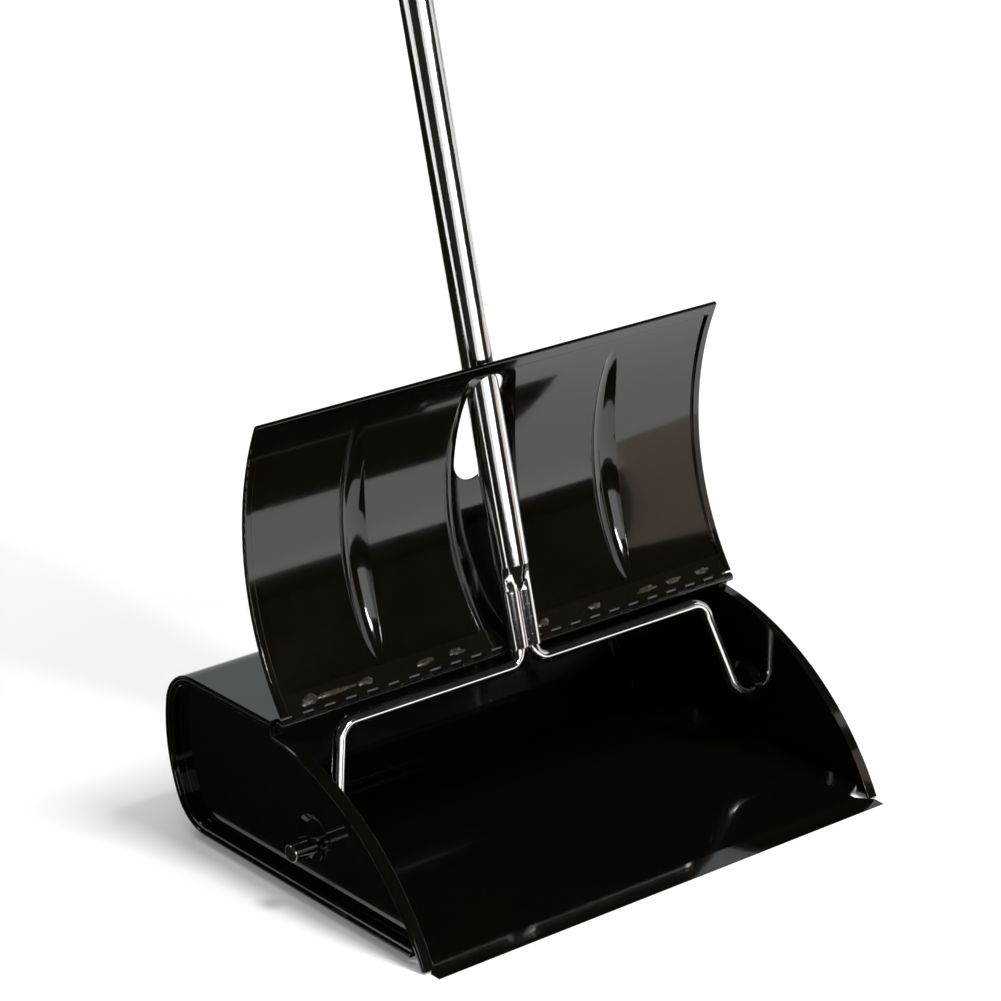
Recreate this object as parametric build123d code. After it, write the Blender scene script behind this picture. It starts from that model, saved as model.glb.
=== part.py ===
"""Upright lobby dust pan: a folded steel pan with a hinged lid and a long crimped handle.

Frame: X runs to the right along the lid hinge, Y runs back from the lip and Z is up.
The origin is the middle of the front edge of the lip, on the floor.  Millimetres.
"""

from build123d import *
from math import atan2, cos, degrees, pi, radians, sin, sqrt, tan
import os

# ---------------------------------------------------------------- pan, overall
SHEET = 1.0
HEM = 2.6
PAN_HALF_W = 152.5
PAN_TOP = 90.3
RIM_FLOOR = 5.2
FLOOR_HALF_W = 141.0
RIM_INNER_X = 147.0
BACK_Y, BACK_Z, BACK_R = 130.5, 58.2, 87.5
TOP_CORNER_R = 22.3
FLOOR_CORNER_R = 28.0
RIM_CORNER_R = 26.0
LIP_DEPTH = 13.5
LIP_HALF_W = 148.2
LIP_EDGE = 0.35
SEAM_FRONT = 18.0
SEAM_TOP_FRONT = 127.5

# ---------------------------------------------------------------- end panels
PANEL_X = 145.0
PANEL_FLANGE_X = 151.5
ARC_Y, ARC_Z, ARC_R = 144.5, -70.5, 154.5
PANEL_STEP_Y = 125.5
NOSE_Z = 1.1
DISH_R_OUTER = 12.0
DISH_R_FLOOR = 8.8
DISH_DEPTH = 2.6
DISH_OFFSET = (4.0, 2.0)

# ---------------------------------------------------------------- lid hinge
HINGE_Y, HINGE_Z = 121.5, 89.4
HINGE_HALF_L = 149.5
PIN_R = 1.2
BORE_R = 1.25
KNUCKLE_R = 2.4
KNUCKLES = 45
KNUCKLE_GAP = 0.32
LEAF_T = 0.9
PAN_LEAF_DEPTH = 15.0
LID_LEAF_HEIGHT = 13.0
WINDOW_HEIGHT = 2.75

# ---------------------------------------------------------------- lid
LID_Y, LID_Z = 0.0, 180.0
LID_R = 149.6
LID_TIP_Z = 240.6
LID_HALF_W = 149.5
LID_HEM_W = 6.8
LID_SIDE_HEM_W = 4.6
LID_HEM_T = 2.3
SLOT_HALF_W = 11.2
SLOT_LOW_Z, SLOT_HIGH_Z = 171.0, 232.4
TROUGH_FLOOR_HALF_W = 15.5
TROUGH_STATIONS = ((1.5, 0.0), (78.0, 8.6), (150.0, 0.0))
RIB_X = 82.5
RIB_SECTION_R = 13.0
RIB_STATIONS = ((15.5, 0.0), (66.0, 3.0), (143.0, 0.0))

# ---------------------------------------------------------------- handle
PIVOT_Y, PIVOT_Z = 98.0, 33.0
LEAN = 15.0
WIRE_R = 3.4
WIRE_HOLE_R = 3.46
BAIL_RISE = 53.8
BAIL_HALF_W = 120.3
FOOT_HALF_W = 134.0
WIRE_END_X = 161.5
WIRE_BEND_R = 10.0
WIRE_NECK_BEND_R = 8
WIRE_SPREAD = 4.6
TUBE_R = 9.0
TUBE_WALL = 1.2
TUBE_START = 62
CRIMP_END = 91
ROUND_START = 105
TUBE_END = 862.0
LOBE_R = 4.6
LOBE_END_ANGLE = 130
GRIP_START = 742.0
GRIP_R = 12.5
GRIP_RINGS = 8


# ================================================================ helpers
def sheet_point(centre, radius, angle):
    """Point on a circle, angle in radians."""
    return (centre[0] + radius * cos(angle), centre[1] + radius * sin(angle))


def pan_path(floor_z, floor_r, inset, y_floor, y_top):
    """Side profile of the pan, inset from the outside, from floor front round to top front."""
    c1_z = floor_z + floor_r
    c1_y = BACK_Y + sqrt((BACK_R - floor_r) ** 2 - (BACK_Z - c1_z) ** 2)
    c3_z = PAN_TOP - TOP_CORNER_R
    c3_y = BACK_Y + sqrt((BACK_R - TOP_CORNER_R) ** 2 - (c3_z - BACK_Z) ** 2)
    a1 = atan2(c1_z - BACK_Z, c1_y - BACK_Y)
    a3 = atan2(c3_z - BACK_Z, c3_y - BACK_Y)
    low, back, top = floor_r - inset, BACK_R - inset, TOP_CORNER_R - inset
    p1 = (c1_y, floor_z + inset)
    p2 = sheet_point((c1_y, c1_z), low, a1)
    p3 = sheet_point((c3_y, c3_z), top, a3)
    p4 = (c3_y, PAN_TOP - inset)
    return [
        Line((y_floor, floor_z + inset), p1),
        ThreePointArc(p1, sheet_point((c1_y, c1_z), low, (a1 - pi / 2) / 2), p2),
        ThreePointArc(p2, sheet_point((BACK_Y, BACK_Z), back, (a1 + a3) / 2), p3),
        ThreePointArc(p3, sheet_point((c3_y, c3_z), top, (a3 + pi / 2) / 2), p4),
        Line(p4, (y_top, PAN_TOP - inset)),
    ]


def band_wire(floor_z, floor_r, inset_a, inset_b, y_floor, y_top):
    """Closed outline between two insets of the pan profile."""
    outer = pan_path(floor_z, floor_r, inset_a, y_floor, y_top)
    inner = pan_path(floor_z, floor_r, inset_b, y_floor, y_top)
    cap = Line(outer[-1] @ 1, inner[-1] @ 1)
    close = Line(inner[0] @ 0, outer[0] @ 0)
    return Wire([*outer, cap, *inner[::-1], close])


def side_extrude(face, x_from, x_to):
    """Extrude a face drawn in (Y, Z) between two X positions."""
    placed = Plane.YZ.offset(x_from) * face
    return extrude(placed, amount=x_to - x_from, dir=(1, 0, 0))


def mirrored(shape):
    """The same shape on the other side of the middle plane."""
    return mirror(shape, about=Plane.YZ)


def rect(y0, z0, y1, z1):
    """Rectangle given by two corners, in the drawing plane."""
    return Pos((y0 + y1) / 2, (z0 + z1) / 2) * Rectangle(y1 - y0, z1 - z0)


# ================================================================ pan shell
def make_lip():
    """Thin front edge with a 45 degree cut behind each ear."""
    section = make_face(
        Polyline((0, 0), (LIP_DEPTH + 3, 0), (LIP_DEPTH + 3, SHEET), (LIP_DEPTH, SHEET), (0, LIP_EDGE), close=True)
    )
    strip = side_extrude(section, -LIP_HALF_W, LIP_HALF_W)
    cut_in = LIP_HALF_W - FLOOR_HALF_W
    corner = make_face(
        Polyline(
            (LIP_HALF_W + 1, LIP_DEPTH - cut_in - 1),
            (LIP_HALF_W + 1, LIP_DEPTH + 5),
            (FLOOR_HALF_W, LIP_DEPTH + 5),
            (FLOOR_HALF_W, LIP_DEPTH),
            (LIP_HALF_W, LIP_DEPTH - cut_in),
            close=True,
        )
    )
    cut = extrude(Plane.XY.offset(-1) * corner, amount=4)
    return strip - cut - mirrored(cut)


def make_hem():
    """Rolled seam round one side of the shell, closed over the end panel's flange."""
    face = make_face(band_wire(RIM_FLOOR, RIM_CORNER_R, 0, HEM, SEAM_FRONT, SEAM_TOP_FRONT))
    hem = side_extrude(face, RIM_INNER_X, PAN_HALF_W)
    outer_edges = hem.edges().filter_by(lambda e: abs(e.center().X - PAN_HALF_W) < 0.01)
    return fillet(outer_edges, HEM / 2 - 0.08)


def make_pan_shell():
    floor_wire = band_wire(0, FLOOR_CORNER_R, 0, SHEET, LIP_DEPTH + 2, HINGE_Y + 3.2)
    main = side_extrude(make_face(floor_wire), -FLOOR_HALF_W, FLOOR_HALF_W)
    near = Plane.YZ.offset(FLOOR_HALF_W) * band_wire(0, FLOOR_CORNER_R, 0, SHEET, SEAM_FRONT, HINGE_Y + 3.2)
    far = Plane.YZ.offset(RIM_INNER_X) * band_wire(RIM_FLOOR, RIM_CORNER_R, 0, SHEET, SEAM_FRONT, HINGE_Y + 3.2)
    joggle = Solid.make_loft([near, far], ruled=True)
    hem = make_hem()
    return main + make_lip() + joggle + mirrored(joggle) + hem + mirrored(hem)


# ================================================================ end panels
def panel_outline():
    """Outline of an end panel: pan profile inside the seam, cut off by the front arc."""
    inset = HEM
    path = pan_path(RIM_FLOOR, RIM_CORNER_R, inset, PANEL_STEP_Y, PANEL_STEP_Y)
    rear = make_face(Wire([*path, Line(path[-1] @ 1, path[0] @ 0)]))
    disk = Pos(ARC_Y, ARC_Z) * Circle(ARC_R)
    front = rect(-5, RIM_FLOOR + inset, PANEL_STEP_Y + 2, 83.5) & disk
    return rear + front


def make_side_panel(side):
    """End panel, side 1 right or -1 left: a shallow tray with its flange turned out into the seam."""
    outline = panel_outline()
    disk = Pos(ARC_Y, ARC_Z) * Circle(ARC_R)
    inner_disk = Pos(ARC_Y, ARC_Z) * Circle(ARC_R - HEM)
    nose = disk & rect(-5, NOSE_Z, SEAM_FRONT - 1, RIM_FLOOR + HEM + 1)
    plate_face = outline + nose
    recess = offset(outline, amount=-HEM, kind=Kind.INTERSECTION)
    relief = inner_disk & rect(-5, 0, SEAM_FRONT - 1, RIM_FLOOR + 2 * HEM + 0.5)
    band_face = outline - recess - relief
    strip_end = (disk - inner_disk) & rect(-5, 0, SEAM_FRONT, RIM_FLOOR + HEM + 1)
    plate = side_extrude(plate_face, side * PANEL_X, side * (PANEL_X + SHEET))
    band = side_extrude(band_face + strip_end, side * PANEL_X, side * PANEL_FLANGE_X)
    rim_edges = band.edges().filter_by(lambda e: abs(e.center().X - side * PANEL_FLANGE_X) < 0.01)
    band = chamfer(rim_edges.filter_by(lambda e: e.length > 3.2), 0.7)
    band -= side_extrude(rect(-10, -5, 40, NOSE_Z), side * (PANEL_X - 5), side * (PANEL_FLANGE_X + 5))
    face_x, floor_x = PANEL_X + SHEET, PANEL_X + SHEET - DISH_DEPTH
    hollow = dish_cone(face_x, DISH_R_OUTER, floor_x, DISH_R_FLOOR, side)
    back = dish_cone(face_x - SHEET, DISH_R_OUTER + 0.8, floor_x - SHEET, DISH_R_FLOOR + 0.8, side)
    hole = side_extrude(Pos(PIVOT_Y, PIVOT_Z) * Circle(WIRE_HOLE_R), side * (PANEL_X - 10), side * (PANEL_X + 10))
    return (plate + band + back) - hollow - hole


def dish_cone(x0, r0, x1, r1, side):
    """Cone between two radii about the dish's centre line."""
    half = make_face(Polyline((side * x0, 0), (side * x0, r0), (side * x1, r1), (side * x1, 0), close=True))
    cone = revolve(half, Axis.X, 360)
    return Pos(0, PIVOT_Y + DISH_OFFSET[0], PIVOT_Z + DISH_OFFSET[1]) * cone


# ================================================================ hinge
def knuckle_spans(first):
    """X ranges of every second knuckle, starting with knuckle number first."""
    pitch = 2 * HINGE_HALF_L / KNUCKLES
    spans = []
    for i in range(first, KNUCKLES, 2):
        x0 = -HINGE_HALF_L + i * pitch
        spans.append((x0 + KNUCKLE_GAP / 2, x0 + pitch - KNUCKLE_GAP / 2))
    return spans


def hinge_disk(radius):
    return Pos(HINGE_Y, HINGE_Z) * Circle(radius)


def make_hinge_leaf_pan():
    """Leaf under the pan's top sheet, with its knuckles round the pin."""
    z_top = PAN_TOP - SHEET
    strip = rect(HINGE_Y + 3.0, z_top - LEAF_T, HINGE_Y + PAN_LEAF_DEPTH, z_top)
    leaf = side_extrude(strip, -HINGE_HALF_L + 6, HINGE_HALF_L - 6)
    tab = rect(HINGE_Y, z_top - LEAF_T, HINGE_Y + 4.0, z_top)
    section = hinge_disk(KNUCKLE_R) + tab - hinge_disk(BORE_R)
    for x0, x1 in knuckle_spans(0):
        leaf += side_extrude(section, x0, x1)
    return leaf


def make_hinge_leaf_lid():
    """Leaf on the front of the lid; windows clear the pan's knuckles."""
    half_w = HINGE_HALF_L - LID_SIDE_HEM_W - 0.4
    low, high = lid_angle(WINDOW_HEIGHT), lid_angle(LID_LEAF_HEIGHT)
    leaf = pressed_sheet(LID_R - LEAF_T, LEAF_T - 0.02, low, high, half_w, with_ribs=False)
    tab = sector(LID_R - LEAF_T, LID_R - 0.02, lid_angle(0), lid_angle(WINDOW_HEIGHT + 0.6))
    section = hinge_disk(KNUCKLE_R) + tab - hinge_disk(BORE_R)
    for x0, x1 in knuckle_spans(1):
        leaf += side_extrude(section, x0, x1)
    return leaf


def make_hinge_pin():
    pin = Plane.YZ.offset(-HINGE_HALF_L - 0.6) * Pos(HINGE_Y, HINGE_Z) * Circle(PIN_R)
    return chamfer(extrude(pin, amount=2 * HINGE_HALF_L + 1.2).edges(), 0.25)


# ================================================================ lid
def sector(r0, r1, a0, a1):
    """Ring sector about the lid's centre of curvature, drawn in (Y, Z)."""
    centre = (LID_Y, LID_Z)
    mid = (a0 + a1) / 2
    outer = ThreePointArc(sheet_point(centre, r1, a0), sheet_point(centre, r1, mid), sheet_point(centre, r1, a1))
    inner = ThreePointArc(sheet_point(centre, r0, a1), sheet_point(centre, r0, mid), sheet_point(centre, r0, a0))
    return make_face(Wire([outer, Line(outer @ 1, inner @ 0), inner, Line(inner @ 1, outer @ 0)]))


def lid_angle(s):
    """Angle about the lid's centre of curvature at distance s up the lid from the hinge."""
    return atan2(HINGE_Z - LID_Z, HINGE_Y - LID_Y) + s / LID_R


def dent_circle(*stations):
    """Centre and radius of the circle through three (distance up the lid, depth) stations."""
    (y1, z1), (y2, z2), (y3, z3) = [
        sheet_point((LID_Y, LID_Z), LID_R + depth, lid_angle(s)) for s, depth in stations
    ]
    a, b, e = y2 - y1, z2 - z1, ((y2 - y1) * (y2 + y1) + (z2 - z1) * (z2 + z1)) / 2
    c, d, f = y3 - y1, z3 - z1, ((y3 - y1) * (y3 + y1) + (z3 - z1) * (z3 + z1)) / 2
    det = a * d - b * c
    centre = ((e * d - b * f) / det, (a * f - e * c) / det)
    return centre, sqrt((y1 - centre[0]) ** 2 + (z1 - centre[1]) ** 2)


def dent_ring(profile, circle, x=0.0):
    """Revolve a dent's cross-section about its own centre; local x is X, local y is depth."""
    (y, z), radius = circle
    plane = Plane(origin=(x, y, z), x_dir=(1, 0, 0), z_dir=(0, 0, 1))
    return revolve(plane * (Pos(0, radius) * profile), Axis((0, y, z), (1, 0, 0)), 360)


def trough_profile(extra):
    """Cross-section of the channel behind the handle: flat bottom and sloping flanks."""
    half = TROUGH_FLOOR_HALF_W
    face = make_face(
        Polyline((-half - 16, -16), (half + 16, -16), (half, 0), (-half, 0), close=True)
    )
    face = fillet(face.vertices().group_by(Axis.Y)[-1], 6)
    return offset(face, amount=extra) if extra else face


def rib_profile(extra):
    """Cross-section of a stiffening rib: the tip of a circle."""
    return Pos(0, -RIB_SECTION_R) * Circle(RIB_SECTION_R + extra)


def pressed_sheet(radius, thickness, a0, a1, half_w, with_ribs=True):
    """Curved sheet with the trough and ribs pressed out backwards."""
    shift = radius - LID_R
    channel = dent_circle(*TROUGH_STATIONS)
    sheet = side_extrude(sector(radius, radius + thickness, a0, a1), -half_w, half_w)
    keep = side_extrude(sector(radius - 1, radius + 30, a0, a1), -half_w, half_w)
    outer = [dent_ring(trough_profile(shift + thickness), channel)]
    inner = [dent_ring(trough_profile(shift), channel)]
    if with_ribs:
        groove = dent_circle(*RIB_STATIONS)
        for x in (-RIB_X, RIB_X):
            outer.append(dent_ring(rib_profile(thickness), groove, x))
            inner.append(dent_ring(rib_profile(0), groove, x))
    core = side_extrude(Pos(LID_Y, LID_Z) * Circle(radius), -half_w - 1, half_w + 1)
    for ring in outer:
        sheet += (ring & keep) - core
    for ring in inner:
        sheet -= ring
    return sheet


def make_lid_panel():
    base = lid_angle(WINDOW_HEIGHT)
    tip = atan2(LID_TIP_Z - LID_Z, sqrt(LID_R**2 - (LID_TIP_Z - LID_Z) ** 2))
    bead = LID_HEM_T / 2
    mid_r = LID_R + SHEET - bead
    tip_centre = tip - bead / mid_r
    lid = pressed_sheet(LID_R, SHEET, base, tip_centre, LID_HALF_W - bead)
    hem_face = sector(mid_r - bead, mid_r + bead, tip - LID_HEM_W / LID_R, tip_centre)
    hem_face += Pos(*sheet_point((LID_Y, LID_Z), mid_r, tip_centre)) * Circle(bead)
    lid += side_extrude(hem_face, -LID_HALF_W + bead, LID_HALF_W - bead)
    side = make_side_hem(base, tip_centre, mid_r, bead)
    lid += side + mirrored(side)
    slot_mid = (SLOT_LOW_Z + SLOT_HIGH_Z) / 2
    slot_face = SlotOverall(SLOT_HIGH_Z - SLOT_LOW_Z, 2 * SLOT_HALF_W, rotation=90)
    slot = Plane.XZ.offset(-LID_R - 30) * Pos(0, slot_mid) * slot_face
    return lid - extrude(slot, amount=60)


def make_side_hem(base, tip_angle, mid_r, bead):
    """Folded edge down the right side of the lid, as a swept rounded strip."""
    inner_x = LID_HALF_W - LID_SIDE_HEM_W
    outer_x = LID_HALF_W - bead
    profile = rect(inner_x, mid_r - bead, outer_x, mid_r + bead) + Pos(outer_x, mid_r) * Circle(bead)
    start = Plane(
        origin=(0, LID_Y, LID_Z),
        x_dir=(1, 0, 0),
        z_dir=(0, -sin(base), cos(base)),
    )
    axis = Axis((0, LID_Y, LID_Z), (1, 0, 0))
    return revolve(start * profile, axis, degrees(tip_angle - base))


# ================================================================ handle
def handle_plane(distance):
    """Plane square to the handle at a distance from the pivot; local x is X, local y is back."""
    lean = radians(LEAN)
    along = Vector(0, sin(lean), cos(lean))
    return Plane(origin=Vector(0, PIVOT_Y, PIVOT_Z) + along * distance, x_dir=(1, 0, 0), z_dir=along)


def bail_point(x, distance):
    return handle_plane(distance).from_local_coords((x, 0, 0))


def make_bail_wire():
    """Right half of the bail: tube, crossbar, leg and the foot that turns in the panel."""
    top = bail_point(WIRE_SPREAD, CRIMP_END - 2)
    elbow = bail_point(WIRE_SPREAD, BAIL_RISE)
    crossbar = bail_point(BAIL_HALF_W / 2, BAIL_RISE)
    neck = FilletPolyline(top, elbow, crossbar, radius=WIRE_NECK_BEND_R)
    arm = FilletPolyline(
        crossbar,
        bail_point(BAIL_HALF_W, BAIL_RISE),
        bail_point(FOOT_HALF_W, 0),
        bail_point(WIRE_END_X, 0),
        radius=WIRE_BEND_R,
    )
    start = Plane(origin=top, z_dir=elbow - top)
    return sweep(start * Circle(WIRE_R), path=neck + arm)


def make_wire_cap():
    """Push-on cap on the right foot, with a neck towards the panel."""
    x0 = PANEL_X + SHEET + 0.6
    x1 = x0 + 3.2
    x2 = WIRE_END_X + 1.2
    outline = make_face(
        Polyline((x0, WIRE_R), (x0, WIRE_R + 0.7), (x1, WIRE_R + 0.7), (x1 + 1, 4.7), (x2, 4.7), (x2, 0),
                 (WIRE_END_X, 0), (WIRE_END_X, WIRE_R), close=True)
    )
    cap = revolve(outline, Axis.X, 360)
    rim = cap.edges().filter_by(lambda e: abs(e.center().X - x2) < 0.01)
    cap = fillet(rim, 1.1)
    return Pos(0, PIVOT_Y, PIVOT_Z) * cap


def flat_section(half_w, half_t):
    """Flat hollow between the lobes: two flats and two half rounds."""
    flat = half_w - half_t
    return Wire([
        Line((-flat, half_t), (flat, half_t)),
        ThreePointArc((flat, half_t), (half_w, 0), (flat, -half_t)),
        Line((flat, -half_t), (-flat, -half_t)),
        ThreePointArc((-flat, -half_t), (-half_w, 0), (-flat, half_t)),
    ])


def round_section(radius):
    """Round tube outline cut into four arcs to match the flattened one."""
    c = radius * sqrt(0.5)
    return Wire([
        ThreePointArc((-c, c), (0, radius), (c, c)),
        ThreePointArc((c, c), (radius, 0), (c, -c)),
        ThreePointArc((c, -c), (0, -radius), (-c, -c)),
        ThreePointArc((-c, -c), (-radius, 0), (-c, c)),
    ])


def lobed_section():
    """Outline of the tube pressed round the two wires: two lobes with a smooth groove between."""
    end = radians(LOBE_END_ANGLE)
    x, y = WIRE_SPREAD + LOBE_R * cos(end), LOBE_R * sin(end)
    dip = y - x * tan((end - pi / 2) / 2)
    side = WIRE_SPREAD + LOBE_R
    return Wire([
        ThreePointArc((-x, y), (0, dip), (x, y)),
        ThreePointArc((x, y), (side, 0), (x, -y)),
        ThreePointArc((x, -y), (0, -dip), (-x, -y)),
        ThreePointArc((-x, -y), (-side, 0), (-x, y)),
    ])


def make_handle_tube():
    """Long tube, pressed round the two wires at its foot."""
    crimp = extrude(handle_plane(TUBE_START) * make_face(lobed_section()), amount=CRIMP_END - TUBE_START)
    for x in (-WIRE_SPREAD, WIRE_SPREAD):
        crimp -= extrude(handle_plane(TUBE_START) * Pos(x, 0) * Circle(WIRE_R + 0.02), amount=CRIMP_END - TUBE_START)
    neck = Solid.make_loft(
        [handle_plane(CRIMP_END) * lobed_section(), handle_plane(ROUND_START) * round_section(TUBE_R)], ruled=True)
    neck_hollow = Solid.make_loft(
        [handle_plane(CRIMP_END) * flat_section(7.4, 1.5),
         handle_plane(ROUND_START) * round_section(TUBE_R - TUBE_WALL)], ruled=True)
    barrel = extrude(handle_plane(ROUND_START) * Circle(TUBE_R), amount=TUBE_END - ROUND_START)
    barrel -= extrude(handle_plane(ROUND_START) * Circle(TUBE_R - TUBE_WALL), amount=TUBE_END - ROUND_START)
    return crimp + (neck - neck_hollow) + barrel


def make_handle_grip():
    """Moulded sleeve over the top of the tube, with shallow finger rings."""
    length = TUBE_END - GRIP_START
    bore = TUBE_R + 0.02
    wall = Pos((bore + GRIP_R) / 2, length / 2) * Rectangle(GRIP_R - bore, length)
    wall = fillet(wall.vertices().group_by(Axis.X)[-1], 2.0)
    for i in range(GRIP_RINGS):
        at = 14 + i * (length - 28) / (GRIP_RINGS - 1)
        wall -= Pos(GRIP_R + 0.9, at) * Circle(1.6)
    foot = handle_plane(GRIP_START)
    section = Plane(origin=foot.origin, x_dir=(1, 0, 0), z_dir=foot.y_dir * -1)
    return revolve(section * wall, Axis(foot.origin, foot.z_dir), 360)


def make_hang_cap():
    """Plug in the top of the tube with a flat tab and a hanging hole."""
    plug = extrude(handle_plane(TUBE_END - 18) * Circle(TUBE_R - TUBE_WALL - 0.03), amount=18)
    head = fillet(extrude(handle_plane(TUBE_END) * Circle(GRIP_R), amount=9).edges(), 1.6)
    lean = radians(LEAN)
    tab_plane = Plane(
        origin=handle_plane(TUBE_END + 7).origin,
        x_dir=(1, 0, 0),
        z_dir=(0, -cos(lean), sin(lean)),
    )
    outline = Pos(0, 12) * SlotOverall(40, 22, rotation=90)
    tab = extrude(tab_plane * outline, amount=3.2, both=True)
    tab = fillet(tab.edges().group_by(SortBy.LENGTH)[-1], 1.4)
    hole = extrude(tab_plane * Pos(0, 18) * SlotOverall(14, 9, rotation=90), amount=10, both=True)
    below = extrude(handle_plane(TUBE_END - 40) * Rectangle(60, 60), amount=40)
    return plug + head + (tab - below) - hole


# ================================================================ export
def build_parts():
    wire = make_bail_wire()
    cap = make_wire_cap()
    return {
        "pan_shell": make_pan_shell(),
        "side_panel_right": make_side_panel(1),
        "side_panel_left": make_side_panel(-1),
        "hinge_leaf_pan": make_hinge_leaf_pan(),
        "hinge_pin": make_hinge_pin(),
        "lid_panel": make_lid_panel(),
        "hinge_leaf_lid": make_hinge_leaf_lid(),
        "bail_wire_right": wire,
        "bail_wire_left": mirrored(wire),
        "wire_cap_right": cap,
        "wire_cap_left": mirrored(cap),
        "handle_tube": make_handle_tube(),
        "handle_grip": make_handle_grip(),
        "hang_cap": make_hang_cap(),
    }


os.makedirs("parts", exist_ok=True)
for name, shape in build_parts().items():
    export_step(shape, f"parts/{name}.step")
    box = shape.bounding_box()
    print(f"{name:18s} solids {len(shape.solids())} volume {shape.volume:10.1f} "
          f"size {box.size.X:.1f} {box.size.Y:.1f} {box.size.Z:.1f}")
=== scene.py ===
import math
import random

import bmesh
import bpy
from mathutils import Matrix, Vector
from mathutils.bvhtree import BVHTree


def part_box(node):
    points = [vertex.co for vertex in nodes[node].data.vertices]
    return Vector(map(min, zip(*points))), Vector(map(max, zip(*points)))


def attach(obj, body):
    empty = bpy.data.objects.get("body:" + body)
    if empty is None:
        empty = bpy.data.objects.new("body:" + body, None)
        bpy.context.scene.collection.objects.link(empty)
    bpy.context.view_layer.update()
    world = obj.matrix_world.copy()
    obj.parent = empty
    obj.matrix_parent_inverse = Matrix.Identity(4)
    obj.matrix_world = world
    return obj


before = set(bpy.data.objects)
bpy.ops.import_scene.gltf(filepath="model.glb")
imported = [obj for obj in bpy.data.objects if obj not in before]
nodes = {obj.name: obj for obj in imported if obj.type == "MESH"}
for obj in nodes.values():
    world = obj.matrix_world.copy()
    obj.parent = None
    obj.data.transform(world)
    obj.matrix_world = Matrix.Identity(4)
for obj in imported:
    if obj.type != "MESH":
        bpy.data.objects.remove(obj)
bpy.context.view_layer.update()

random.seed(11)
scene = bpy.context.scene


_, PAN_HIGH = (Vector(c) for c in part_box("pan_shell"))
LEAF_LOW, LEAF_HIGH = (Vector(c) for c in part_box("hinge_leaf_lid"))


# ---------------------------------------------------------------- node helpers
class Shader:
    """Small builder for one node material."""

    def __init__(self, name):
        self.mat = bpy.data.materials.new(name)
        self.mat.use_nodes = True
        self.tree = self.mat.node_tree
        self.bsdf = self.tree.nodes["Principled BSDF"]
        self.coords = self.add("ShaderNodeTexCoord").outputs["Object"]

    def add(self, kind, **props):
        node = self.tree.nodes.new(kind)
        for key, value in props.items():
            setattr(node, key, value)
        return node

    def link(self, out, socket):
        self.tree.links.new(out, socket)

    def set(self, **values):
        """Constants straight on the shader's own sockets."""
        for key, value in values.items():
            self.bsdf.inputs[key.replace("_", " ")].default_value = value

    def stretched(self, scale):
        mapping = self.add("ShaderNodeMapping")
        mapping.inputs["Scale"].default_value = scale
        self.link(self.coords, mapping.inputs["Vector"])
        return mapping.outputs["Vector"]

    def noise(self, scale, detail=2.0, rough=0.5, stretch=None):
        node = self.add("ShaderNodeTexNoise")
        node.inputs["Scale"].default_value = scale
        node.inputs["Detail"].default_value = detail
        node.inputs["Roughness"].default_value = rough
        coords = self.stretched(stretch) if stretch else self.coords
        self.link(coords, node.inputs["Vector"])
        return node.outputs["Fac"]

    def span(self, value, low, high, to_low, to_high):
        node = self.add("ShaderNodeMapRange")
        ends = {"From Min": low, "From Max": high, "To Min": to_low, "To Max": to_high}
        for name, number in ends.items():
            node.inputs[name].default_value = number
        self.link(value, node.inputs["Value"])
        return node.outputs["Result"]

    def ramp(self, value, *stops):
        node = self.add("ShaderNodeValToRGB")
        points = node.color_ramp.elements
        for i, (place, colour) in enumerate(stops):
            point = points[i] if i < len(points) else points.new(place)
            point.position = place
            point.color = (*colour, 1.0)
        self.link(value, node.inputs["Fac"])
        return node.outputs["Color"]

    def mix(self, fac, first, second):
        """Blend of two colours; each is a socket or a plain colour."""
        node = self.add("ShaderNodeMix", data_type="RGBA")
        self.link(fac, node.inputs["Factor"])
        for name, value in (("A", first), ("B", second)):
            socket = [s for s in node.inputs if s.name == name and s.type == "RGBA"][0]
            if isinstance(value, tuple):
                socket.default_value = (*value, 1.0)
            else:
                self.link(value, socket)
        return [s for s in node.outputs if s.type == "RGBA"][0]

    def blend(self, first, second, operation="MULTIPLY"):
        node = self.add("ShaderNodeMath", operation=operation, use_clamp=True)
        self.link(first, node.inputs[0])
        self.link(second, node.inputs[1])
        return node.outputs[0]

    def edge(self, radius, low=0.0, high=0.25):
        """0 on flat sheet, 1 on an edge: how far a rounded normal turns from the true one."""
        rounded = self.add("ShaderNodeBevel", samples=4)
        rounded.inputs["Radius"].default_value = radius
        geometry = self.add("ShaderNodeNewGeometry")
        dot = self.add("ShaderNodeVectorMath", operation="DOT_PRODUCT")
        self.link(rounded.outputs["Normal"], dot.inputs[0])
        self.link(geometry.outputs["Normal"], dot.inputs[1])
        turn = self.add("ShaderNodeMath", operation="SUBTRACT")
        turn.inputs[0].default_value = 1.0
        self.link(dot.outputs["Value"], turn.inputs[1])
        return self.span(turn.outputs[0], low, high, 0.0, 1.0)

    def bump(self, *layers, round_edges=None):
        """Stacked bumps, each (height, strength, distance), into the shader's normals."""
        normal = None
        if round_edges:
            rounded = self.add("ShaderNodeBevel", samples=6)
            rounded.inputs["Radius"].default_value = round_edges
            normal = rounded.outputs["Normal"]
        for height, strength, distance in layers:
            node = self.add("ShaderNodeBump")
            node.inputs["Strength"].default_value = strength
            node.inputs["Distance"].default_value = distance
            self.link(height, node.inputs["Height"])
            if normal:
                self.link(normal, node.inputs["Normal"])
            normal = node.outputs["Normal"]
        self.link(normal, self.bsdf.inputs["Normal"])
        return normal


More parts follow.
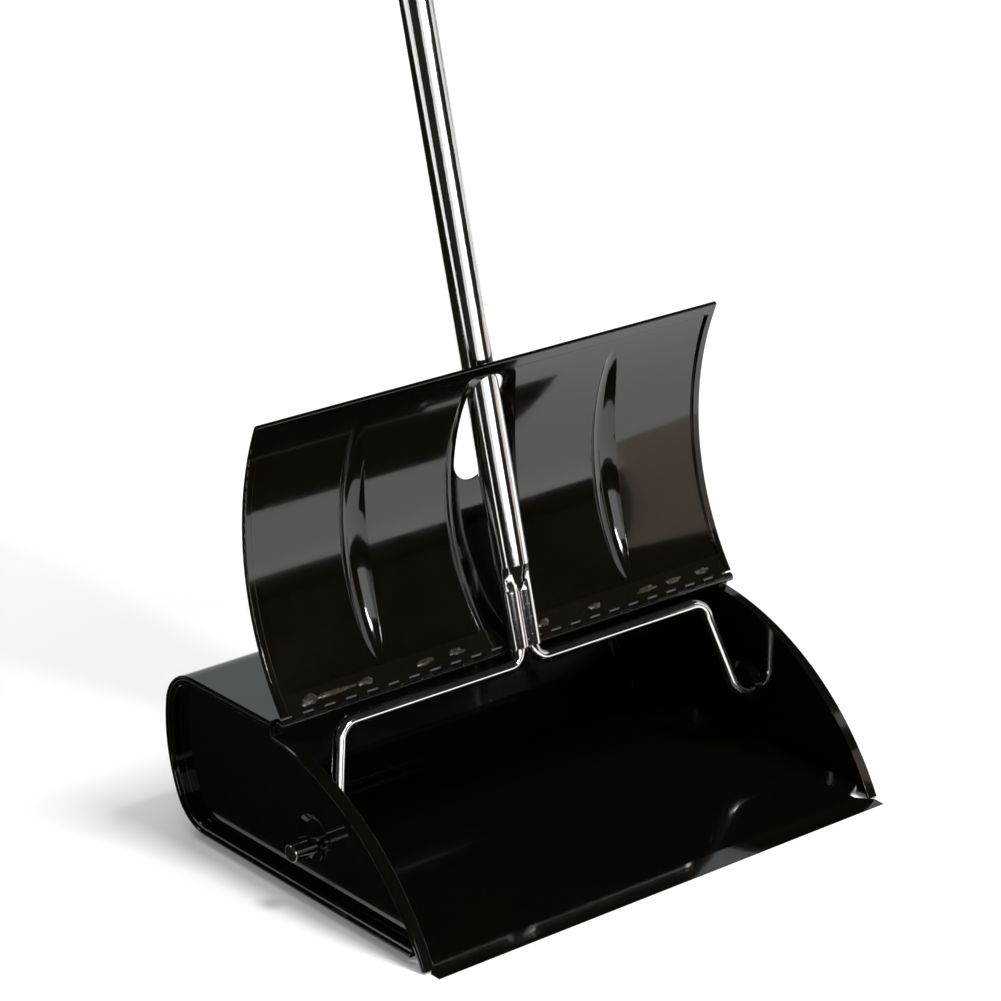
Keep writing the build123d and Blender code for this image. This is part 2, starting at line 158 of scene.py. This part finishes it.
# ---------------------------------------------------------------- materials
def gloss_enamel(name, tint=(0.0019, 0.0016, 0.0007), peel=0.012):
    """Stoved black enamel on sheet steel: orange peel, fine dust, and edges painted lighter in
    patches, partly edge wear and partly a painted highlight where the edges catch light.
    """
    s = Shader(name)
    cloud = s.noise(9.0, 4.0, 0.6)
    specks = s.span(s.noise(1400.0, 1.0), 0.70, 0.80, 0.0, 1.0)
    # edge mask for the lighter edge colour below: edge wear plus a painted highlight along
    # edges that catch light
    rubbed = s.edge(0.0008, 0.06, 0.4)
    patchy = s.span(s.noise(160.0, 5.0, 0.7), 0.55, 0.72, 0.0, 1.0)
    worn_and_lit_edges = s.blend(rubbed, patchy)
    base = s.ramp(cloud, (0.25, tint), (0.8, tuple(v * 1.6 for v in tint)))
    dust = s.blend(specks, s.span(cloud, 0.3, 0.8, 0.0, 0.25))
    dusty = s.mix(dust, base, (0.09, 0.08, 0.065))
    # painted edge highlight with some edge wear: edges in the patches turn a lighter
    # brown-grey
    s.link(s.mix(worn_and_lit_edges, dusty, (0.10, 0.085, 0.065)), s.bsdf.inputs["Base Color"])
    s.link(s.span(s.noise(34.0, 5.0, 0.65), 0.3, 0.8, 0.05, 0.13), s.bsdf.inputs["Roughness"])
    s.set(IOR=1.52, Coat_Weight=0.35, Coat_Roughness=0.02, Coat_IOR=1.5)
    orange_peel = (s.noise(260.0, 2.0), peel, 0.0004)
    sheet_waves = (s.noise(22.0, 2.0), 0.02, 0.002)
    s.bump(orange_peel, sheet_waves, round_edges=0.0006)
    return s.mat


def chrome(name, along=(60.0, 60.0, 3.0)):
    """Bright plate over drawn steel: faint draw lines, smudges, tiny pits."""
    s = Shader(name)
    smudge = s.noise(26.0, 5.0, 0.65)
    tone = s.ramp(smudge, (0.3, (0.70, 0.69, 0.67)), (0.75, (0.83, 0.83, 0.82)))
    s.link(tone, s.bsdf.inputs["Base Color"])
    s.link(s.span(smudge, 0.35, 0.8, 0.045, 0.13), s.bsdf.inputs["Roughness"])
    s.set(Metallic=1.0)
    pits = s.span(s.noise(900.0, 1.0), 0.72, 0.8, 1.0, 0.0)
    s.bump((s.noise(9.0, 3.0, 0.6, along), 0.05, 0.0006), (pits, 0.10, 0.0001))
    return s.mat


def brushed_steel(name):
    """Bare drawn rod, brushed along X and lightly tarnished."""
    s = Shader(name)
    tarnish = s.noise(120.0, 4.0)
    tone = s.ramp(tarnish, (0.3, (0.34, 0.32, 0.29)), (0.7, (0.55, 0.54, 0.52)))
    s.link(tone, s.bsdf.inputs["Base Color"])
    s.link(s.span(tarnish, 0.3, 0.8, 0.22, 0.42), s.bsdf.inputs["Roughness"])
    s.set(Metallic=1.0)
    brush_lines = s.noise(30.0, 3.0, 0.6, (2.0, 60.0, 60.0))
    s.bump((brush_lines, 0.2, 0.0002), round_edges=0.0002)
    return s.mat


def moulded(name, colour, rough, grain):
    """Moulded black plastic with a fine spark grain and scuffed edges."""
    s = Shader(name)
    rubbed = s.edge(0.0012, 0.04, 0.3)
    patchy = s.span(s.noise(90.0, 5.0, 0.7), 0.45, 0.7, 0.0, 1.0)
    scuff = s.blend(rubbed, patchy)
    base = s.ramp(s.noise(14.0, 4.0), (0.3, colour), (0.8, tuple(v * 1.5 for v in colour)))
    s.link(s.mix(scuff, base, (0.075, 0.073, 0.07)), s.bsdf.inputs["Base Color"])
    sheen = s.span(s.noise(50.0, 4.0), 0.3, 0.8, rough - 0.06, rough + 0.1)
    s.link(sheen, s.bsdf.inputs["Roughness"])
    s.bump((s.noise(1100.0, 2.0), grain, 0.0003), round_edges=0.0005)
    return s.mat


def weld_burn(name):
    """Paint drawn thin and brown over a spot weld."""
    s = Shader(name)
    mottled = s.noise(420.0, 4.0, 0.7)
    tone = s.ramp(mottled, (0.3, (0.012, 0.009, 0.006)), (0.7, (0.040, 0.031, 0.021)))
    s.link(tone, s.bsdf.inputs["Base Color"])
    s.link(s.span(mottled, 0.3, 0.7, 0.14, 0.3), s.bsdf.inputs["Roughness"])
    s.set(IOR=1.5, Coat_Weight=0.6, Coat_Roughness=0.05)
    s.bump((mottled, 0.35, 0.0003))
    return s.mat


# the paper glows faintly near the middle and more brightly away from it
GLOW_NEAR, GLOW_FAR = 0.15, 0.95
GLOW_STARTS, GLOW_ENDS = 0.45, 2.2


def matte_floor(name, colour):
    """Plain pale studio paper with the faintest tooth, self-lit so that it stays white."""
    s = Shader(name)
    shade = tuple(v * 0.985 for v in colour)
    s.link(s.ramp(s.noise(3.0, 3.0), (0.3, shade), (0.7, colour)), s.bsdf.inputs["Base Color"])
    s.set(Roughness=0.9, Specular_IOR_Level=0.15, Emission_Color=(*colour, 1.0))
    away = s.add("ShaderNodeVectorMath", operation="LENGTH")
    s.link(s.coords, away.inputs[0])
    glow = s.span(away.outputs["Value"], GLOW_STARTS, GLOW_ENDS, GLOW_NEAR, GLOW_FAR)
    s.link(glow, s.bsdf.inputs["Emission Strength"])
    return s.mat


def dress(material, *names):
    for name in names:
        slots = nodes[name].material_slots
        if len(slots):
            for one in slots:
                one.material = material
        else:
            nodes[name].data.materials.append(material)


PAINT = gloss_enamel("black_enamel")
LEAF_PAINT = gloss_enamel("black_enamel_thin", (0.0032, 0.0026, 0.0014), 0.03)
CHROME = chrome("chrome_plate")
STEEL = brushed_steel("pin_steel")
GRIP = moulded("grip_plastic", (0.012, 0.012, 0.012), 0.5, 0.35)
CAP = moulded("cap_plastic", (0.009, 0.009, 0.009), 0.26, 0.12)
BURN = weld_burn("weld_mark")

dress(PAINT, "pan_shell", "side_panel_right", "side_panel_left", "lid_panel")
dress(LEAF_PAINT, "hinge_leaf_pan", "hinge_leaf_lid")
dress(STEEL, "hinge_pin")
dress(CHROME, "bail_wire_right", "bail_wire_left", "handle_tube")
dress(CHROME, "wire_cap_right", "wire_cap_left")
dress(GRIP, "handle_grip")
dress(CAP, "hang_cap")


# ---------------------------------------------------------------- spot welds
def surface_of(*names):
    """One ray-castable tree over the faces of these CAD nodes."""
    verts, faces = [], []
    for name in names:
        mesh = nodes[name].data
        start = len(verts)
        verts += [v.co.copy() for v in mesh.vertices]
        faces += [[start + i for i in p.vertices] for p in mesh.polygons]
    return BVHTree.FromPolygons(verts, faces)


WELD_RINGS = 4
WELD_AROUND = 20
WELD_CROWN = 0.00030     # height of a mark above the leaf at its middle
WELD_SINK = 0.00003      # how far its outer edge lies under the leaf's face
WELD_ROW_DROP = 0.0048   # from the leaf's top edge down to the row
CAST_FROM = 0.05         # rays start this far in front of the leaf
LEAST_FACING = 0.5       # share of the face's normal that has to point along Y

# share of the leaf's half length, half width and half height of each mark, in metres
WELDS = (
    (-0.90, 0.0055, 0.0022), (-0.79, 0.0150, 0.0010), (-0.66, 0.0050, 0.0016),
    (-0.40, 0.0055, 0.0015), (-0.26, 0.0050, 0.0015), (0.14, 0.0040, 0.0017),
    (0.38, 0.0045, 0.0013), (0.63, 0.0065, 0.0014), (0.76, 0.0060, 0.0012),
    (0.90, 0.0045, 0.0015),
)


def on_leaf(tree, x, z, height):
    """Point at this height over the leaf's front face, or None off the leaf."""
    start = Vector((x, LEAF_LOW.y - CAST_FROM, z))
    hit, normal, _, _ = tree.ray_cast(start, Vector((0, 1, 0)))
    if hit is None or abs(normal.y) < LEAST_FACING:
        return None
    outward = normal if normal.y < 0 else -normal
    return hit + outward * height


def weld_points(tree, x, z, half_w, half_h):
    """Rings of points of one low irregular nugget that follows the leaf's curve."""
    phase = random.uniform(0, math.tau)
    lobes = [(k, random.uniform(0.05, 0.16), random.uniform(0, math.tau)) for k in (2, 3, 5)]
    rings = []
    for ring in range(WELD_RINGS + 1):
        share = ring / WELD_RINGS
        height = WELD_CROWN * (1 - share * share) - WELD_SINK * share
        points = []
        for i in range(WELD_AROUND if ring else 1):
            a = phase + math.tau * i / WELD_AROUND
            wobble = 1 + sum(size * math.sin(k * a + p) for k, size, p in lobes)
            dx = half_w * share * wobble * math.cos(a)
            dz = half_h * share * wobble * math.sin(a)
            points.append(on_leaf(tree, x + dx, z + dz, height))
        rings.append(points)
    return rings


def weld_blob(mesh, rings):
    """Add one nugget to the mesh; a nugget that would leave the leaf is left out."""
    if any(point is None for ring in rings for point in ring):
        return 0
    loops = [[mesh.verts.new(point) for point in ring] for ring in rings]
    middle = loops[0][0]
    following = [(i + 1) % WELD_AROUND for i in range(WELD_AROUND)]
    for i, j in enumerate(following):
        mesh.faces.new((middle, loops[1][i], loops[1][j]))
    for inner, outer in zip(loops[1:], loops[2:]):
        for i, j in enumerate(following):
            mesh.faces.new((inner[i], outer[i], outer[j], inner[j]))
    return 1


def make_welds():
    """The row of spot welds that holds the lid to its hinge leaf."""
    tree = surface_of("hinge_leaf_lid")
    mesh = bmesh.new()
    half = (LEAF_HIGH.x - LEAF_LOW.x) / 2
    row = LEAF_HIGH.z - WELD_ROW_DROP
    made = 0
    for share, wide, tall in WELDS:
        made += weld_blob(mesh, weld_points(tree, share * half, row, wide, tall))
    print("welds", made)
    bmesh.ops.recalc_face_normals(mesh, faces=mesh.faces)
    data = bpy.data.meshes.new("weld_marks")
    mesh.to_mesh(data)
    mesh.free()
    for face in data.polygons:
        face.use_smooth = True
    piece = bpy.data.objects.new("weld_marks", data)
    scene.collection.objects.link(piece)
    data.materials.append(BURN)
    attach(piece, "lid")


make_welds()


# ---------------------------------------------------------------- studio
FLOOR_REACH = 30.0
CARD_LIFT = 0.0006        # flat flags lie this far over the paper
LIP_CARD_LIFT = 0.0003    # the flag just in front of the lip lies lower
LIGHTS_AIM = (0.0, 0.1, 0.15)

CAMERA_TURN = 39.56       # degrees from +Y, looking to the right and back
CAMERA_TILT = 21.39       # degrees down
CAMERA_REACH = 1.86
CAMERA_AIM = (-0.0197, 0.110, 0.1786)
CAMERA_LENS = 134.3


def add_mesh(name, verts, faces, material):
    data = bpy.data.meshes.new(name)
    data.from_pydata(verts, [], faces)
    data.update()
    data.materials.append(material)
    piece = bpy.data.objects.new(name, data)
    scene.collection.objects.link(piece)
    return piece


def only_in_reflections(piece):
    """A studio flag or card: black or white board that only the gloss picks up."""
    piece.visible_camera = False
    piece.visible_diffuse = False
    piece.visible_shadow = False
    piece.visible_transmission = False


def board_material(name, colour, glow=0.0):
    s = Shader(name)
    shade = tuple(v * 0.97 for v in colour)
    s.link(s.ramp(s.noise(2.0, 2.0), (0.3, shade), (0.7, colour)), s.bsdf.inputs["Base Color"])
    s.set(Roughness=1.0, Specular_IOR_Level=0.0)
    s.set(Emission_Color=(*colour, 1.0), Emission_Strength=glow)
    return s.mat


def flat_card(name, x0, y0, x1, y1, material, z=CARD_LIFT):
    corners = [(x0, y0, z), (x1, y0, z), (x1, y1, z), (x0, y1, z)]
    card = add_mesh(name, corners, [(0, 1, 2, 3)], material)
    only_in_reflections(card)
    return card


def standing_card(name, centre, width, height, material):
    """Upright card at a point, facing the pan."""
    middle = Vector(centre)
    away = Vector((middle.x, middle.y - PAN_HIGH.y / 2, 0)).normalized()
    along = Vector((-away.y, away.x, 0)) * width / 2
    up = Vector((0, 0, height / 2))
    left, right = middle - along, middle + along
    corners = [tuple(c) for c in (left - up, right - up, right + up, left + up)]
    card = add_mesh(name, corners, [(0, 1, 2, 3)], material)
    only_in_reflections(card)
    return card


def make_floor():
    r = FLOOR_REACH
    paper = matte_floor("studio_paper", (0.93, 0.93, 0.93))
    corners = [(-r, -r, 0), (r, -r, 0), (r, r, 0), (-r, r, 0)]
    add_mesh("floor", corners, [(0, 1, 2, 3)], paper)


def board_at(name, turn, reach, width, low, high, material):
    """Board standing round the pan; turn is degrees to the right of the camera's side."""
    a = math.radians(CAMERA_TURN + 180 - turn)
    centre = (reach * math.sin(a), PAN_HIGH.y / 2 + reach * math.cos(a), (low + high) / 2)
    return standing_card(name, centre, width, high - low, material)


def make_cards():
    """Dark flags keep the near-black paint dark; white boards draw the bands on the chrome."""
    dark = board_material("flag_dark", (0.010, 0.010, 0.006))
    side = PAN_HIGH.x
    flat_card("flag_left", -2.2, -0.30, -side - 0.012, 2.2, dark)
    flat_card("flag_lip", -side, -0.13, 0.25, -0.0005, dark, LIP_CARD_LIFT)
    flat_card("flag_front", -FLOOR_REACH, -FLOOR_REACH, FLOOR_REACH, -0.80, dark)
    white = board_material("board_white", (0.88, 0.90, 0.90), 0.85)
    soft = board_material("board_soft", (0.55, 0.56, 0.56), 0.30)
    grey = board_material("board_grey", (0.42, 0.48, 0.47), 0.30)
    brown = board_material("board_brown", (0.60, 0.50, 0.40), 0.45)
    standing_card("board_brown", (0.50, -0.30, 0.15), 0.080, 0.30, brown)
    board_at("board_front", 38, 2.2, 1.45, 0.30, 1.2, white)
    board_at("board_front_soft", 12, 2.3, 0.75, 0.30, 1.2, soft)
    board_at("board_left", -88, 1.8, 0.16, 0.1, 1.8, white)
    board_at("board_right", 108, 2.2, 1.1, 0.05, 1.8, soft)
    board_at("board_back", 170, 3.4, 5.2, 0.0, 2.6, grey)


def area_light(name, place, size, power, glossy=True):
    """Soft light turned to the pan; unless glossy, nothing shiny mirrors it."""
    data = bpy.data.lights.new(name, "AREA")
    data.shape = "RECTANGLE"
    data.size, data.size_y = size
    data.energy = power
    lamp = bpy.data.objects.new(name, data)
    scene.collection.objects.link(lamp)
    lamp.location = place
    towards = Vector(LIGHTS_AIM) - Vector(place)
    lamp.rotation_euler = towards.to_track_quat("-Z", "Y").to_euler()
    lamp.visible_glossy = glossy
    return lamp


def make_lights():
    area_light("key", (0.25, -1.0, 2.4), (0.5, 0.5), 42, glossy=False)
    area_light("fill", (-1.8, -1.2, 2.2), (2.2, 2.2), 14, glossy=False)
    area_light("overhead", (0.0, 0.4, 3.0), (3.0, 3.0), 46, glossy=False)
    area_light("window", (0.75, -2.2, 1.20), (0.45, 0.40), 30)


def make_world():
    world = bpy.data.worlds.new("studio")
    scene.world = world
    world.use_nodes = True
    ground = world.node_tree.nodes["Background"]
    ground.inputs["Color"].default_value = (0.95, 0.90, 0.80, 1.0)
    ground.inputs["Strength"].default_value = 0.020


def make_camera():
    """Long lens from the left front, looking down on the pan."""
    data = bpy.data.cameras.new("camera")
    data.lens = CAMERA_LENS
    data.sensor_width = 36.0
    camera = bpy.data.objects.new("camera", data)
    scene.collection.objects.link(camera)
    turn, tilt = math.radians(CAMERA_TURN), math.radians(CAMERA_TILT)
    level = math.cos(tilt)
    away = Vector((math.sin(turn) * level, math.cos(turn) * level, -math.sin(tilt)))
    camera.location = Vector(CAMERA_AIM) - away * CAMERA_REACH
    camera.rotation_euler = away.to_track_quat("-Z", "Y").to_euler()
    scene.camera = camera


make_floor()
make_cards()
make_lights()
make_world()
make_camera()
scene.view_settings.view_transform = "Standard"
